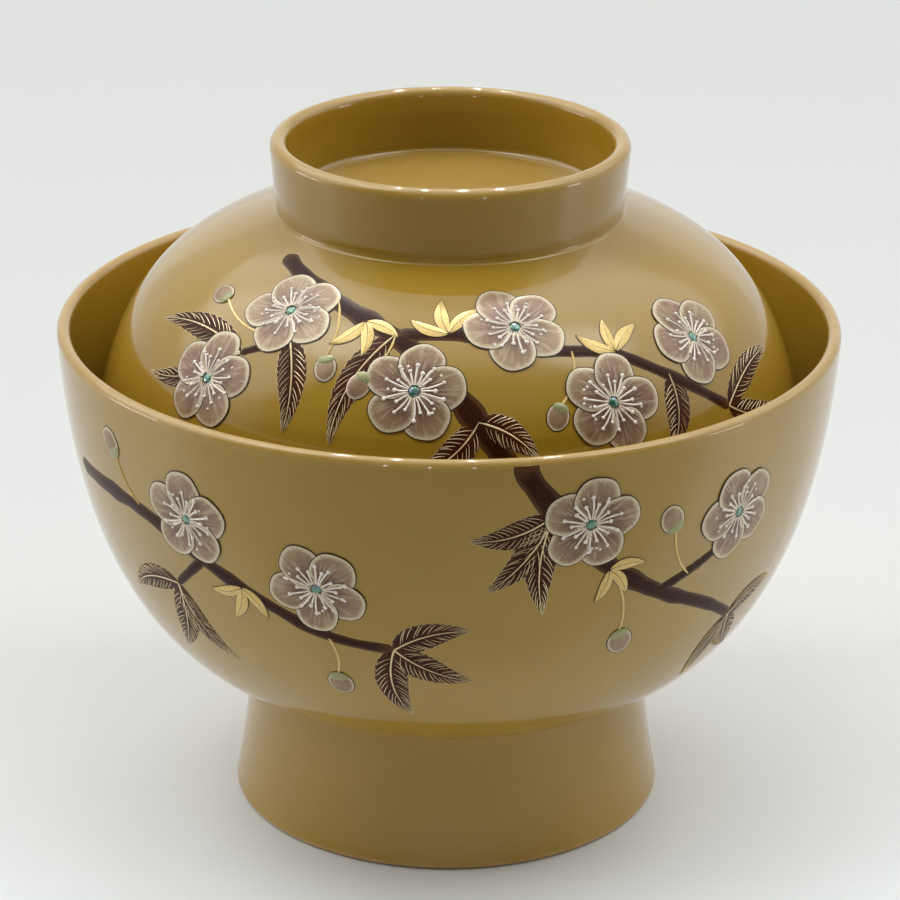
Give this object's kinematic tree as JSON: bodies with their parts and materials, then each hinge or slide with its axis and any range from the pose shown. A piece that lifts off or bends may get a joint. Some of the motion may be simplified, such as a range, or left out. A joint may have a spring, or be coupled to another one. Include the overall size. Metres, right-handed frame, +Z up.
{
  "type": "lidded soup bowl",
  "caption": "Footed lacquered wooden soup bowl with a domed lid that drops inside the rim and has a ring handle.",
  "frame": {"origin": "centre of the foot's bottom face, on the table", "axes": "+Z up along the bowl's turning axis; -Y towards the decorated front; +X to the right seen from the front"},
  "size_m": [0.125, 0.125, 0.1113],
  "materials": {
    "wood": "fine turned hardwood, hidden under the lacquer",
    "lacquer": "polished ochre tan lacquer, mirror gloss",
    "shell": "green iridescent shell, polished flush",
    "petal_powder": "silver mauve powder sprinkled in lacquer",
    "dark_lacquer": "dark brown lacquer, softly polished",
    "gold_powder": "gold powder lines and leaves, satin",
    "silver_line": "raised silver powder lines and dots, slightly warm",
    "green_lacquer": "grey green lacquer powdered with gold"
  },
  "bodies": {
    "bowl": {"bowl_core": "wood", "bowl_lacquer": "lacquer", "bowl_shell_inlays": "shell"},
    "lid": {"lid_core": "wood", "lid_lacquer": "lacquer", "lid_shell_inlays": "shell"}
  },
  "joints": [
    {"name": "lid_lift", "type": "slide", "parent": "bowl", "child": "lid", "axis": [0, 0, 1], "range_m": [0, 0.1]}
  ]
}
